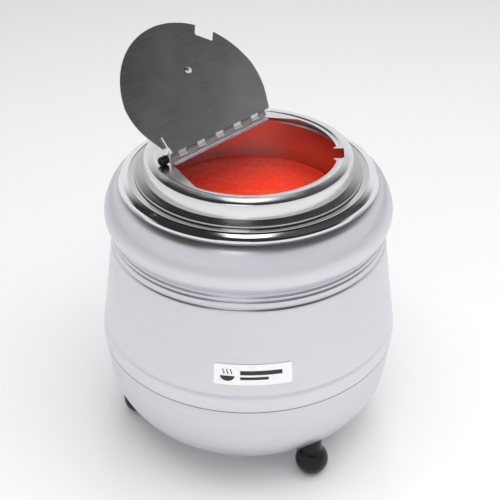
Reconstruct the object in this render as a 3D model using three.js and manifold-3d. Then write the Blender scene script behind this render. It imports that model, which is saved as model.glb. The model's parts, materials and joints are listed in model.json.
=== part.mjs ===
// Electric wet-heat soup kettle, ten litres, with a hinged half lid.
// Units are millimetres, +Z is up, and the kettle stands on Z = 0 with its axis on X = Y = 0.
import * as THREE from 'three';
import { mergeVertices } from 'three/addons/utils/BufferGeometryUtils.js';
import Module from 'manifold-3d';

const wasm = await Module();
wasm.setup();

// ---------- driving dimensions ----------
const SEGMENTS = 36;            // facets round every large spun part
const GAP = 0.3;                // running clearance between neighbours
const SHEET = 0.9;              // outer casing sheet
const LINER = 0.7;              // pot and water well sheet

const NECK_Z = 284;             // narrowest height of the casing, under the shoulder
const BELLY_R = 177.6;          // widest radius, just above the seam
const SEAM_Z = 140;             // lower edge of the casing, where the base pan starts
const BASE_Z = 39;              // flat bottom of the base pan
const GROOVES = [283, 277.5, 268.5];
const GROOVE_DEPTH = 1.6;
const GROOVE_HALF = 2.3;

const WELL_R = 126.3;           // water well wall, outside
const WELL_BOTTOM = 99.5;
const WELL_FLANGE_Z = 349.6;
const POT_R = 113.6;            // pot wall, inside
const POT_BOTTOM = 118;
const POT_FLANGE_Z = 354.6;

const LID_R = 120;              // foot of the lid ring's skirt
const PLATE_Z = 373.6;          // top of the lid ring's flat plate
const MOUTH_R = 100.5;          // opening in the plate
// Straight cheeks at the hinge: half width at the hinge, and how far across they meet the round edge.
const MOUTH_CHEEKS = { right: [80, 32], left: [79.5, 58] };
const FLAP_CHEEKS = { right: [86, 41], left: [78, 48] };

const HINGE_ANGLE = 138;        // direction of the hinge line from the axis, degrees
const HINGE_OFFSET = 44;        // distance of the hinge line from the axis
const HINGE_HALF = 78;
const HINGE_UP = 4.2;           // hinge axis above the plate
const KNUCKLE_R = 1.9;
const KNUCKLE_BORE = 1.2;
const PIN_R = 0.9;
const SLOT_PITCH = 30;          // the lid ring's knuckles sit in slots of the flap
const SLOT_COUNT = 5;
const SLOT_LENGTH = 12;
const FLAP_OPEN = 135;          // the flap stands open by this angle at rest
const FLAP_R = 102.5;
const FLAP_T = 1.2;
const FLAP_TOP = -2.5;          // flap's upper face below the hinge axis, when closed
const NOTCH_ANGLE = 39;         // ladle notch, from the middle of the flap's free edge
const NOTCH_HALF = 12;
const NOTCH_DEPTH = 14;
const KNOB_AT = [-8, 84];       // flap knob, in the hinge's frame
const SLEEVE_R = 5.2;           // rubber sleeve that lands on the lid ring when the flap is open
const SLEEVE_T = 3.14;
const SLEEVE_W = 1.3;

const FOOT_R = 20;              // ball foot
const FOOT_FLAT = 0.4;          // how much is worn flat under each ball
const FOOT_CIRCLE = 141.6;
const FOOT_ANGLES = { foot_front: -57.4, foot_left: -177.4, foot_rear: 62.6 };

const PANEL_Y = 150;            // outer face of the recessed control panel at the rear
const PANEL_HALF = 52;
const PANEL_LOW = 60;
const PANEL_HIGH = 110;
const KNOB_Z = 86;
const LAMP_X = 34;
const GLAND_X = -34;
const GLAND_Z = 78;

const ELEMENT_R = 75;           // heating element's ring
const ELEMENT_TUBE = 4;
const ELEMENT_Z = WELL_BOTTOM - ELEMENT_TUBE - GAP;

const radians = THREE.MathUtils.degToRad;
const point = (x, y) => new THREE.Vector2(x, y);

// ---------- materials ----------
function paint(color, roughness, metalness) {
  return new THREE.MeshStandardMaterial({ color, roughness, metalness });
}

const MATERIALS = {
  satinSteel: () => paint(0xd2d0d7, 0.38, 1),
  polishedSteel: () => paint(0xe6e6e8, 0.08, 1),
  lidSteel: () => paint(0x8a8a8f, 0.35, 1),
  linerSteel: () => paint(0xc9c9cc, 0.2, 1),
  plainSteel: () => paint(0xb4b6ba, 0.45, 1),
  blackPlastic: () => paint(0x0c0c0d, 0.35, 0),
  blackRubber: () => paint(0x08080a, 0.6, 0),
  wool: () => paint(0xd8cfa8, 0.95, 0),
  aluminium: () => paint(0xb9bcc0, 0.5, 1),
  elementSheath: () => paint(0x54514e, 0.6, 1),
  brass: () => paint(0xb99a4d, 0.35, 1),
  lens: () => paint(0xd8420f, 0.15, 0),
  whitePlastic: () => paint(0xeeeeea, 0.5, 0),
  redWire: () => paint(0x9c1f18, 0.5, 0),
  blueWire: () => paint(0x22457c, 0.5, 0),
};

// ---------- geometry helpers ----------
function solid(geometry) {
  const bare = geometry.clone();
  bare.deleteAttribute('normal');
  bare.deleteAttribute('uv');
  const merged = mergeVertices(bare, 1e-4);
  return new wasm.Manifold(new wasm.Mesh({
    numProp: 3,
    vertProperties: new Float32Array(merged.attributes.position.array),
    triVerts: new Uint32Array(merged.index.array),
  }));
}

function geometryOf(body) {
  const mesh = body.getMesh();
  const geometry = new THREE.BufferGeometry();
  geometry.setAttribute('position', new THREE.BufferAttribute(mesh.vertProperties, 3));
  geometry.setIndex(new THREE.BufferAttribute(mesh.triVerts, 1));
  const flat = geometry.toNonIndexed();
  flat.computeVertexNormals();
  return flat;
}

// Spins a closed outline of (radius, height) points round +Z.
function spun(outline, segments = SEGMENTS) {
  const onAxis = outline[0].x === 0;
  const points = onAxis ? [...outline] : [...outline, outline[0]];
  if (THREE.ShapeUtils.area(outline) < 0) points.reverse();
  return new THREE.LatheGeometry(points, segments).rotateX(Math.PI / 2);
}

// A line moved sideways by a distance, to the right of its direction, with mitred corners.
function offsetLine(line, distance) {
  return line.map((here, i) => {
    const before = line[Math.max(i - 1, 0)];
    const after = line[Math.min(i + 1, line.length - 1)];
    const arriving = here.clone().sub(before).normalize();
    const leaving = after.clone().sub(here).normalize();
    if (i === 0) arriving.copy(leaving);
    if (i === line.length - 1) leaving.copy(arriving);
    const along = arriving.clone().add(leaving).normalize();
    const stretch = along.dot(arriving);
    return point(here.x + along.y * distance / stretch, here.y - along.x * distance / stretch);
  });
}

// The closed outline of a sheet whose one face follows the line.
function sheet(line, thickness) {
  const back = offsetLine(line, thickness);
  if (line[0].x === 0) back[0].x = 0;
  return [...line, ...back.reverse()];
}

function box(x0, x1, y0, y1, z0, z1) {
  return new THREE.BoxGeometry(x1 - x0, y1 - y0, z1 - z0)
    .translate((x0 + x1) / 2, (y0 + y1) / 2, (z0 + z1) / 2);
}

function rod(radius, z0, z1, sides = 24) {
  return new THREE.CylinderGeometry(radius, radius, z1 - z0, sides)
    .rotateX(Math.PI / 2).translate(0, 0, (z0 + z1) / 2);
}

// A rod along +Y between two Y values, at (x, z).
function rodY(radius, y0, y1, x, z, sides = 24) {
  return rod(radius, y0, y1, sides).rotateX(-Math.PI / 2).translate(x, 0, z);
}

// A tube of a small round section along a smooth path.
function wire(points, radius, steps, sides = 8) {
  const circle = new THREE.Shape().absarc(0, 0, radius, 0, 2 * Math.PI);
  const path = new THREE.CatmullRomCurve3(points.map((p) => new THREE.Vector3(...p)));
  return new THREE.ExtrudeGeometry(circle, {
    steps, curveSegments: sides / 2, extrudePath: path, bevelEnabled: false,
  });
}

// ---------- outlines of the casing ----------
function grooveDip(z) {
  const nearest = Math.min(...GROOVES.map((g) => Math.abs(z - g)));
  return nearest >= GROOVE_HALF ? 0 : GROOVE_DEPTH * 0.5 * (1 + Math.cos(Math.PI * nearest / GROOVE_HALF));
}

function casingLine() {
  const shoulder = new THREE.SplineCurve([
    point(143, 343), point(148, 342.2), point(152.2, 340), point(156.5, 335.6), point(161.6, 326.4),
    point(165.4, 315.6), point(166.6, 306.4), point(165.0, 297.6), point(160.8, 289.8), point(158.2, 286),
  ]);
  const belly = new THREE.SplineCurve([
    point(161.4, 265.6), point(163.9, 248), point(166.8, 226), point(170.4, 200),
    point(174, 176), point(176.7, 158), point(BELLY_R, 149), point(177.2, SEAM_Z),
  ]);
  const band = [];
  for (const z of GROOVES) {
    for (const step of [GROOVE_HALF, 0, -GROOVE_HALF]) {
      const height = z + step;
      band.push(point(158.2 + (NECK_Z - height) * 0.16 - grooveDip(height), height));
    }
  }
  return [...shoulder.getSpacedPoints(8), ...band, ...belly.getPoints(7)];
}

function basePanLine() {
  const corner = new THREE.SplineCurve([
    point(133, BASE_Z), point(146, 47.6), point(158.4, 62), point(168, 80),
    point(172.2, 98), point(173.8, 116), point(174.2, 130),
  ]);
  return [point(0, BASE_Z), ...corner.getPoints(8), point(175.5, SEAM_Z - 2), point(175.5, 151)];
}

// ---------- root: casing and base ----------
function bodyShell() {
  return spun(sheet(casingLine(), SHEET));
}

function panOuter(extraUp) {
  const line = basePanLine();
  const top = line[line.length - 1];
  return solid(spun([...line, point(top.x, top.y + extraUp), point(0, top.y + extraUp)]));
}

function panInner() {
  const line = offsetLine(basePanLine(), -SHEET);
  line[0].x = 0;
  const top = line[line.length - 1];
  return solid(spun([...line, point(top.x, top.y + 5), point(0, top.y + 5)]));
}

function basePan() {
  const far = 60;
  const recess = solid(box(-PANEL_HALF, PANEL_HALF, PANEL_Y, PANEL_Y + far, PANEL_LOW, PANEL_HIGH));
  const grown = solid(box(-PANEL_HALF - SHEET, PANEL_HALF + SHEET, PANEL_Y - SHEET, PANEL_Y + far,
    PANEL_LOW - SHEET, PANEL_HIGH + SHEET));
  let pan = panOuter(0).subtract(recess).subtract(panInner().subtract(grown));
  const holes = [
    rod(3.4, BASE_Z - 5, BASE_Z + 5),
    rodY(4, PANEL_Y - 5, PANEL_Y + 5, 0, KNOB_Z),
    rodY(4.8, PANEL_Y - 5, PANEL_Y + 5, LAMP_X, KNOB_Z),
    rodY(6.4, PANEL_Y - 5, PANEL_Y + 5, GLAND_X, GLAND_Z),
    ...Object.values(FOOT_ANGLES).map((angle) => atFoot(rod(2.9, BASE_Z, 70, 12), angle)),
  ];
  for (const hole of holes) pan = pan.subtract(solid(hole));
  return geometryOf(pan);
}

function trimRing() {
  return spun(sheet([
    point(130.4, 336), point(130.4, 348.6), point(131.4, 349.3), point(138, 348.9), point(141, 348.5),
    point(144.4, 347.9), point(146.2, 347), point(147.9, 345.4), point(148.7, 343.2),
  ], SHEET));
}

function badge() {
  const low = 178;
  const high = 203;
  const line = [high + 2, 190, low - 2].map((z) => point(casingRadius(z) + GAP, z));
  const ring = solid(spun(sheet(line, -0.8), 2 * SEGMENTS));
  return geometryOf(ring.intersect(solid(box(-38, 48, -200, -100, low, high))));
}

function casingRadius(z) {
  const line = casingLine();
  const i = line.findIndex((p) => p.y <= z);
  const share = (line[i - 1].y - z) / (line[i - 1].y - line[i].y);
  return THREE.MathUtils.lerp(line[i - 1].x, line[i].x, share);
}

// ---------- root: water well and heating ----------
function waterWell() {
  return spun(sheet([
    point(0, WELL_BOTTOM), point(112, WELL_BOTTOM), point(120, 102), point(124.6, 107), point(WELL_R, 114),
    point(WELL_R + 1.4, 344), point(WELL_R + 2.6, WELL_FLANGE_Z), point(136, WELL_FLANGE_Z),
    point(137.4, 349.9),
  ], -LINER));
}

function insulationWrap() {
  return spun([point(129, 114), point(143, 114), point(143, 328), point(129, 328)]);
}

function heatingElement() {
  const legs = 14;
  const points = [[ELEMENT_R + 1, -9, ELEMENT_Z - 30], [ELEMENT_R + 1, -9, ELEMENT_Z - 12]];
  for (let degrees = legs; degrees <= 360 - legs; degrees += 14) {
    const a = -radians(degrees);
    points.push([ELEMENT_R * Math.cos(a), ELEMENT_R * Math.sin(a), ELEMENT_Z]);
  }
  points.push([ELEMENT_R + 1, 9, ELEMENT_Z - 12], [ELEMENT_R + 1, 9, ELEMENT_Z - 30]);
  return wire(points, ELEMENT_TUBE, 44, 8);
}

function clampPlate() {
  const top = ELEMENT_Z - ELEMENT_TUBE - GAP;
  let plate = solid(rod(92, top - 1.5, top, SEGMENTS));
  plate = plate.subtract(solid(rod(3.5, top - 5, top + 5)));
  plate = plate.subtract(solid(box(ELEMENT_R - 12, 100, -36, 36, top - 5, top + 5)));
  return geometryOf(plate);
}

function tieRod() {
  return rod(3, BASE_Z - 8, WELL_BOTTOM - GAP, 16);
}

function hexNut(across, bore, z0, z1) {
  const outer = solid(rod(across / Math.sqrt(3), z0, z1, 6));
  return geometryOf(outer.subtract(solid(rod(bore, z0 - 1, z1 + 1, 16))));
}

function thermalCutout() {
  const top = ELEMENT_Z - ELEMENT_TUBE - GAP - 1.5 - GAP;
  const disc = solid(rod(9, top - 5, top, 24)).add(solid(rod(7, top - 12, top - 4, 24)));
  return geometryOf(disc).translate(-30, -34, 0);
}

function terminalBlock() {
  let block = solid(box(-66, -38, 84, 98, BASE_Z + 3, BASE_Z + 17));
  for (const x of [-61, -52, -43]) {
    block = block.subtract(solid(rod(2.2, BASE_Z + 9, BASE_Z + 20, 10).translate(x, 91, 0)));
  }
  return geometryOf(block);
}

function earthStud() {
  return geometryOf(solid(rod(2.5, BASE_Z + SHEET + GAP, BASE_Z + 18, 12))
    .add(solid(rod(5.5, BASE_Z + SHEET + GAP, BASE_Z + 5, 6)))).translate(44, 82, 0);
}

function thermostatBody() {
  const can = solid(box(-17, 17, 120, PANEL_Y - SHEET - 2.5, KNOB_Z - 15, KNOB_Z + 9));
  const bush = solid(rodY(3.7, PANEL_Y - SHEET - 4, PANEL_Y - GAP, 0, KNOB_Z, 20));
  const bore = solid(rodY(3.3, 136, PANEL_Y + 5, 0, KNOB_Z, 20));
  return geometryOf(can.add(bush).subtract(bore));
}

// ---------- root: rear panel ----------
function dialPlate() {
  const plate = solid(rodY(23, PANEL_Y + GAP, PANEL_Y + 1.3, 0, KNOB_Z, 48));
  return geometryOf(plate.subtract(solid(rodY(4, PANEL_Y - 5, PANEL_Y + 5, 0, KNOB_Z))));
}

function indicatorLamp() {
  const rim = solid(rodY(6.5, PANEL_Y + GAP, PANEL_Y + 2.3, LAMP_X, KNOB_Z));
  const dome = solid(rodY(5, PANEL_Y + 2, PANEL_Y + 6.5, LAMP_X, KNOB_Z));
  const barrel = solid(rodY(4.5, PANEL_Y - 18, PANEL_Y + 1, LAMP_X, KNOB_Z));
  return geometryOf(rim.add(dome).add(barrel));
}

function cordGland() {
  const hex = solid(rodY(9.5, PANEL_Y + GAP, PANEL_Y + 5, GLAND_X, GLAND_Z, 6));
  const nose = solid(rodY(7.5, PANEL_Y + 4, PANEL_Y + 15, GLAND_X, GLAND_Z));
  const barrel = solid(rodY(6, PANEL_Y - 14, PANEL_Y + 1, GLAND_X, GLAND_Z));
  const bore = solid(rodY(3.6, PANEL_Y - 20, PANEL_Y + 20, GLAND_X, GLAND_Z, 16));
  return geometryOf(hex.add(nose).add(barrel).subtract(bore));
}

function glandNut() {
  const y0 = PANEL_Y - SHEET - GAP - 5;
  const hex = solid(rodY(9.5, y0, y0 + 5, GLAND_X, GLAND_Z, 6));
  return geometryOf(hex.subtract(solid(rodY(6 + GAP, y0 - 1, y0 + 6, GLAND_X, GLAND_Z))));
}

// ---------- root: feet ----------
function atFoot(geometry, angle) {
  return geometry.translate(FOOT_CIRCLE, 0, 0).rotateZ(radians(angle));
}

function ballFoot(angle) {
  const ball = solid(new THREE.SphereGeometry(FOOT_R, 20, 12).rotateX(Math.PI / 2)
    .translate(0, 0, FOOT_R - FOOT_FLAT));
  const neck = solid(rod(11, FOOT_R, 62, 24));
  const floor = solid(box(-30, 30, -30, 30, -5, 0));
  const bore = solid(rod(2.8, 14, 70, 12));
  const foot = solid(atFoot(geometryOf(ball.add(neck).subtract(floor).subtract(bore)), angle));
  return geometryOf(foot.subtract(grownPan()));
}

function grownPan() {
  const line = offsetLine(basePanLine(), GAP);
  line[0].x = 0;
  const top = line[line.length - 1];
  return solid(spun([...line, point(0, top.y)]));
}

function footStud(angle) {
  return atFoot(rod(2.5, 15, 57, 12), angle);
}

function footNut(angle) {
  return atFoot(hexNut(8, 2.8, 50, 54), angle);
}

// ---------- pot body ----------
function innerPot() {
  return spun(sheet([
    point(0, POT_BOTTOM), point(92, POT_BOTTOM), point(103, 121), point(110.6, 128.6), point(POT_R, 139),
    point(POT_R, 357.4), point(114.4, 358.6), point(116.4, 358.6), point(117.2, 357.4), point(117.2, 355.4),
    point(118, POT_FLANGE_Z), point(120, POT_FLANGE_Z), point(128.2, 353.2), point(129.5, 352.6),
    point(129.9, 350.9),
  ], LINER));
}

// ---------- lid ----------
// The hinge's own frame: s runs along the hinge, t across the mouth, w up from the hinge axis.
const hingeFrame = new THREE.Matrix4().makeBasis(
  new THREE.Vector3(Math.sin(radians(HINGE_ANGLE)), -Math.cos(radians(HINGE_ANGLE)), 0).negate(),
  new THREE.Vector3(Math.cos(radians(HINGE_ANGLE)), Math.sin(radians(HINGE_ANGLE)), 0).negate(),
  new THREE.Vector3(0, 0, 1),
).setPosition(
  HINGE_OFFSET * Math.cos(radians(HINGE_ANGLE)),
  HINGE_OFFSET * Math.sin(radians(HINGE_ANGLE)),
  PLATE_Z + HINGE_UP,
);

function rodS(radius, s0, s1, t = 0, w = 0, sides = 16) {
  return rod(radius, s0, s1, sides).rotateY(Math.PI / 2).translate(0, t, w);
}

// A D-shaped outline round the kettle's axis, with straight cheeks at the hinge.
function dShape(radius, cheeks, startT) {
  const angle = (side) => Math.asin((side[1] - HINGE_OFFSET) / radius);
  const shape = new THREE.Shape();
  shape.moveTo(-cheeks.right[0], startT);
  shape.lineTo(cheeks.left[0], startT);
  shape.absarc(0, HINGE_OFFSET, radius, angle(cheeks.left), Math.PI - angle(cheeks.right), false);
  shape.closePath();
  return shape;
}

function plateOf(shape, w0, w1, curveSegments = SEGMENTS) {
  return new THREE.ExtrudeGeometry(shape, { depth: w1 - w0, bevelEnabled: false, curveSegments })
    .translate(0, 0, w0);
}

// Turns something drawn at the middle of the free edge to the ladle notch.
function atNotch(geometry) {
  return geometry.rotateZ(radians(NOTCH_ANGLE)).translate(0, HINGE_OFFSET, 0);
}

function notchTab(side) {
  const shape = new THREE.Shape([
    point(side * NOTCH_HALF, MOUTH_R + 2),
    point(side * NOTCH_HALF, MOUTH_R - 5),
    point(side * (NOTCH_HALF + 5), MOUTH_R + 2),
  ]);
  return solid(atNotch(plateOf(shape, -20, 20)));
}

function lidRing() {
  const outline = [
    point(LID_R, 354.95), point(119.4, 362), point(118.6, 369.4), point(118.2, 371.4), point(116.8, 373.4),
    point(114.6, 374.4), point(112.4, 374.2), point(110.6, PLATE_Z), point(0, PLATE_Z),
  ];
  const cap = solid(spun(sheet(outline.reverse(), SHEET)));
  let mouth = solid(plateOf(dShape(MOUTH_R, MOUTH_CHEEKS, 2), -20, 20));
  mouth = mouth.add(solid(atNotch(box(-NOTCH_HALF, NOTCH_HALF, 90, MOUTH_R + 7, -20, 20))));
  mouth = mouth.subtract(notchTab(-1)).subtract(notchTab(1));
  const cutter = solid(geometryOf(mouth).applyMatrix4(hingeFrame));
  return geometryOf(cap.subtract(cutter));
}

function slotCentres() {
  return Array.from({ length: SLOT_COUNT }, (_, i) => (i - (SLOT_COUNT - 1) / 2) * SLOT_PITCH);
}

function hingeLeaf() {
  const low = -HINGE_UP + GAP;
  let leaf = solid(box(-HINGE_HALF, HINGE_HALF, -16, 3.3, low, low + 1));
  leaf = leaf.add(solid(box(-HINGE_HALF, HINGE_HALF, 2.3, 3.3, low - 1.3, low + 0.5)));
  leaf = leaf.add(solid(box(-HINGE_HALF, HINGE_HALF, 2.3, 6.3, low - 1.3, low - 0.3)));
  for (const s of slotCentres()) {
    const half = SLOT_LENGTH / 2;
    leaf = leaf.add(solid(rodS(KNUCKLE_R, s - half, s + half)));
    leaf = leaf.add(solid(box(s - half, s + half, -KNUCKLE_R, 0.9, low + 0.5, -0.8)));
  }
  return geometryOf(leaf.subtract(solid(rodS(KNUCKLE_BORE, -100, 100))));
}

function hingePin() {
  return rodS(PIN_R, -HINGE_HALF - 1, HINGE_HALF + 1, 0, 0, 12);
}

// ---------- flap, drawn closed in the hinge's frame ----------
function lidFlap() {
  const low = FLAP_TOP - FLAP_T;
  const edge = 4.3;
  let flap = solid(plateOf(dShape(FLAP_R, FLAP_CHEEKS, edge), low, FLAP_TOP));
  const notch = atNotch(box(-NOTCH_HALF, NOTCH_HALF, FLAP_R - NOTCH_DEPTH, FLAP_R + 5, -20, 20));
  flap = flap.subtract(solid(notch));
  flap = flap.subtract(solid(box(74, 110, 0, 13.5, -20, 20)));
  const half = SLOT_LENGTH / 2 + GAP;
  for (const s of slotCentres()) {
    flap = flap.subtract(solid(box(s - half, s + half, 0, edge + 0.6, -20, 20)));
  }
  const ends = [-HINGE_HALF, ...slotCentres().flatMap((s) => [s - half, s + half]), HINGE_HALF];
  for (let i = 0; i < ends.length; i += 2) {
    flap = flap.add(solid(rodS(KNUCKLE_R, ends[i], ends[i + 1])));
    flap = flap.add(solid(box(ends[i], ends[i + 1], 0, edge + FLAP_T, -KNUCKLE_R, -KNUCKLE_R + FLAP_T)));
    flap = flap.add(solid(box(ends[i], ends[i + 1], edge, edge + FLAP_T, low, -KNUCKLE_R + FLAP_T)));
  }
  flap = flap.subtract(solid(rodS(KNUCKLE_BORE, -100, 100)));
  return geometryOf(flap.subtract(solid(rod(2.4, -20, 20, 16).translate(...KNOB_AT, 0))));
}

function flapKnob() {
  const base = FLAP_TOP + GAP;
  const outline = [
    point(0, base), point(9, base), point(9, base + 1.5), point(7, base + 4), point(7.4, base + 9),
    point(12.5, base + 13), point(14, base + 17), point(12.8, base + 21), point(8, base + 23.6),
    point(0, base + 24.4),
  ];
  const bore = solid(rod(2.3, base - 5, base + 12, 16));
  return geometryOf(solid(spun(outline, 32)).subtract(bore)).translate(...KNOB_AT, 0);
}

function knobScrew() {
  const head = FLAP_TOP - FLAP_T - GAP;
  return spun([
    point(0, head - 2), point(2.6, head - 1.8), point(4.2, head - 0.7), point(4.4, head), point(2, head),
    point(2, head + 13), point(0, head + 13),
  ], 20).translate(...KNOB_AT, 0);
}

function stopArm() {
  return wire([
    [78, 27, -5.2], [78, 17, -5.2], [78.8, 10.5, -4.6], [79.8, 7, -2.4], [80.6, 4.4, 0.2],
    [82.6, SLEEVE_T, SLEEVE_W], [86, SLEEVE_T, SLEEVE_W], [90.5, SLEEVE_T, SLEEVE_W],
  ], 1.1, 28);
}

function stopBumper() {
  const sleeve = solid(rodS(SLEEVE_R, 82, 92, SLEEVE_T, SLEEVE_W, 24));
  return geometryOf(sleeve.subtract(solid(rodS(1.7, 80, 100, SLEEVE_T, SLEEVE_W, 12))));
}

// ---------- thermostat knob and spindle ----------
function thermostatKnob() {
  const y0 = PANEL_Y + 1.3 + GAP;
  const grip = spun([
    point(0, 0), point(17, 0), point(17, 3), point(15.4, 4), point(14.4, 15), point(13, 16.4),
    point(0, 16.4),
  ], 32);
  const turned = solid(grip.rotateX(-Math.PI / 2).translate(0, y0, KNOB_Z));
  const rib = solid(box(-1.6, 1.6, y0 + 5, y0 + 17.4, KNOB_Z + 1, KNOB_Z + 15));
  return geometryOf(turned.add(rib).subtract(solid(rodY(3.3, y0 - 5, y0 + 11, 0, KNOB_Z, 20))));
}

function thermostatSpindle() {
  return rodY(3, 138, PANEL_Y + 1.3 + GAP + 10, 0, KNOB_Z, 20);
}

// ---------- internal wiring ----------
function internalWires() {
  const top = BASE_Z + 10;
  const leg = ELEMENT_Z - 30.6;
  return {
    wire_live: [[-61, 91, top], [-61, 91, 62], [-50, 104, 72], [-32, 124, 80], [-18, 130, 84]],
    wire_element: [[18, 130, 84], [28, 122, 78], [46, 96, 66], [70, 44, 56], [76, 12, 56], [77, 9, leg]],
    wire_return: [
      [77, -9, leg], [74, -12, 55], [44, -12, 50], [-16, 30, 50], [-44, 74, 60], [-52, 88, 64],
      [-52, 91, top],
    ],
  };
}

// ---------- assembly ----------
const kettle = new THREE.Group();
const lid = new THREE.Group();
lid.applyMatrix4(hingeFrame);
const flap = new THREE.Group();
flap.rotation.x = radians(FLAP_OPEN);
lid.add(flap);
kettle.add(lid);

function add(parent, name, geometry, material) {
  const mesh = new THREE.Mesh(geometry, MATERIALS[material]());
  mesh.name = name;
  parent.add(mesh);
}

add(kettle, 'body_shell', bodyShell(), 'satinSteel');
add(kettle, 'base_pan', basePan(), 'satinSteel');
add(kettle, 'top_trim_ring', trimRing(), 'polishedSteel');
add(kettle, 'badge_plate', badge(), 'whitePlastic');
add(kettle, 'water_well', waterWell(), 'linerSteel');
add(kettle, 'insulation_wrap', insulationWrap(), 'wool');
add(kettle, 'heating_element', heatingElement(), 'elementSheath');
add(kettle, 'element_clamp_plate', clampPlate(), 'plainSteel');
add(kettle, 'tie_rod', tieRod(), 'plainSteel');
add(kettle, 'clamp_nut', hexNut(10, 3.3, 83.6, 88.8), 'plainSteel');
add(kettle, 'base_nut', hexNut(10, 3.3, 33, BASE_Z - GAP), 'plainSteel');
add(kettle, 'thermal_cutout', thermalCutout(), 'blackPlastic');
add(kettle, 'terminal_block', terminalBlock(), 'whitePlastic');
add(kettle, 'earth_stud', earthStud(), 'brass');
add(kettle, 'thermostat_body', thermostatBody(), 'aluminium');
add(kettle, 'dial_plate', dialPlate(), 'aluminium');
add(kettle, 'indicator_lamp', indicatorLamp(), 'lens');
add(kettle, 'cord_gland', cordGland(), 'blackPlastic');
add(kettle, 'gland_nut', glandNut(), 'blackPlastic');
for (const [name, angle] of Object.entries(FOOT_ANGLES)) {
  add(kettle, name, ballFoot(angle), 'blackRubber');
  add(kettle, `${name}_stud`, footStud(angle), 'plainSteel');
  add(kettle, `${name}_nut`, footNut(angle), 'plainSteel');
}
const wireColours = { wire_live: 'redWire', wire_element: 'redWire', wire_return: 'blueWire' };
for (const [name, route] of Object.entries(internalWires())) {
  add(kettle, name, wire(route, 1.2, 24, 6), wireColours[name]);
}
add(kettle, 'thermostat_knob', thermostatKnob(), 'blackPlastic');
add(kettle, 'thermostat_spindle', thermostatSpindle(), 'plainSteel');
add(kettle, 'inner_pot', innerPot(), 'linerSteel');
add(kettle, 'lid_ring', lidRing(), 'polishedSteel');
add(lid, 'hinge_leaf', hingeLeaf(), 'polishedSteel');
add(lid, 'hinge_pin', hingePin(), 'plainSteel');
add(flap, 'lid_flap', lidFlap(), 'lidSteel');
add(flap, 'flap_knob', flapKnob(), 'blackPlastic');
add(flap, 'knob_screw', knobScrew(), 'polishedSteel');
add(flap, 'stop_arm', stopArm(), 'polishedSteel');
add(flap, 'stop_bumper', stopBumper(), 'blackRubber');

export default kettle;
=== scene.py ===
import json
import math

import bmesh
import bpy
from mathutils import Matrix, Vector, noise


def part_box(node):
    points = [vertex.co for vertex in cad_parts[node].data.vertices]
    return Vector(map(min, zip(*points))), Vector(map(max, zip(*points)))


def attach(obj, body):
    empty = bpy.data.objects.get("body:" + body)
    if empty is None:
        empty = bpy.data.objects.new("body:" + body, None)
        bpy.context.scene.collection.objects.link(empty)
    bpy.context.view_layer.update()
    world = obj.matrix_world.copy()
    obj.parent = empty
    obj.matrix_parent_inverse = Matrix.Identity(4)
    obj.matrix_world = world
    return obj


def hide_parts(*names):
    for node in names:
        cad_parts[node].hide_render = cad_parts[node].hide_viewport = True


# Looks of an electric wet-heat soup kettle. Outlines are in millimetres: (radius, height), and where a
# third number follows, it is how far that corner is rounded.
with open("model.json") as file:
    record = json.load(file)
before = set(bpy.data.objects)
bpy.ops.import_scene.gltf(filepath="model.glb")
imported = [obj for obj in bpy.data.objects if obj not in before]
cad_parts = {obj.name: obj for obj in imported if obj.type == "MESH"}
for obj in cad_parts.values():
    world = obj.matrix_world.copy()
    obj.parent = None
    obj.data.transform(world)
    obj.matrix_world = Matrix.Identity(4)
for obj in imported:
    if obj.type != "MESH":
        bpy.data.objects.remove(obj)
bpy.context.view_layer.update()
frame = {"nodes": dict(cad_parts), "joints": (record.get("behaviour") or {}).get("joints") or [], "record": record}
record = frame["record"]

MM = 0.001
FINE = 160                  # facets round a large spun part
GAP = 0.3                   # running clearance between pieces
CASING_SHEET = 0.9
LINER_SHEET = 0.7
SHARP = 32                  # degrees: edges that turn more than this stay sharp
BROKEN = 40                 # degrees: edges that turn more than this are bevelled by soften()
THROUGH = 20                # how far a cutter reaches to each side of a sheet
FEET = ("foot_front", "foot_left", "foot_rear")


# ---------- places that come from the frame ----------
def joint(name):
    return next(j for j in frame["joints"] if j["name"] == name)


def centre(node):
    low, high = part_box(node)
    return (low + high) / 2 / MM


HINGE_AT = Vector(joint("flap_hinge")["pos_m"])
HINGE_ALONG = -Vector(joint("flap_hinge")["axis"])
HINGE_ACROSS = Vector((0, 0, 1)).cross(HINGE_ALONG)
HINGE_OFFSET = HINGE_AT.xy.length / MM
FLAP_OPEN = math.radians(joint("flap_hinge")["range_deg"][1])

# The hinge's frame: x runs along the hinge, y across the mouth, z up.
HINGE_TURN = Matrix((HINGE_ALONG, HINGE_ACROSS, (0, 0, 1))).transposed().to_4x4()
LID_FRAME = Matrix.Translation(HINGE_AT) @ HINGE_TURN
FLAP_FRAME = LID_FRAME @ Matrix.Rotation(FLAP_OPEN, 4, "X")

# The rear panel's frame: x to the left as seen from the front, y up, z backwards.
REAR_FRAME = Matrix(((-1, 0, 0, 0), (0, 0, 1, 0), (0, 1, 0, 0), (0, 0, 0, 1)))


# ---------- outlines ----------
def smooth_line(points, steps=6):
    """A curve through the points, with some steps between each two of them."""
    p = [Vector(q) for q in points]
    ends = [2 * p[0] - p[1], *p, 2 * p[-1] - p[-2]]
    line = []
    for i in range(len(p) - 1):
        a, b, c, d = ends[i:i + 4]
        for k in range(steps):
            t = k / steps
            line.append(0.5 * (2 * b + (c - a) * t + (2 * a - 5 * b + 4 * c - d) * t ** 2
                               + (3 * b - a - 3 * c + d) * t ** 3))
    return [tuple(q) for q in line] + [tuple(p[-1])]


def bend(start, corner, end, t):
    """The point at t on a curve from start to end that leans towards the corner."""
    return tuple(start * (1 - t) ** 2 + corner * 2 * t * (1 - t) + end * t ** 2)


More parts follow.
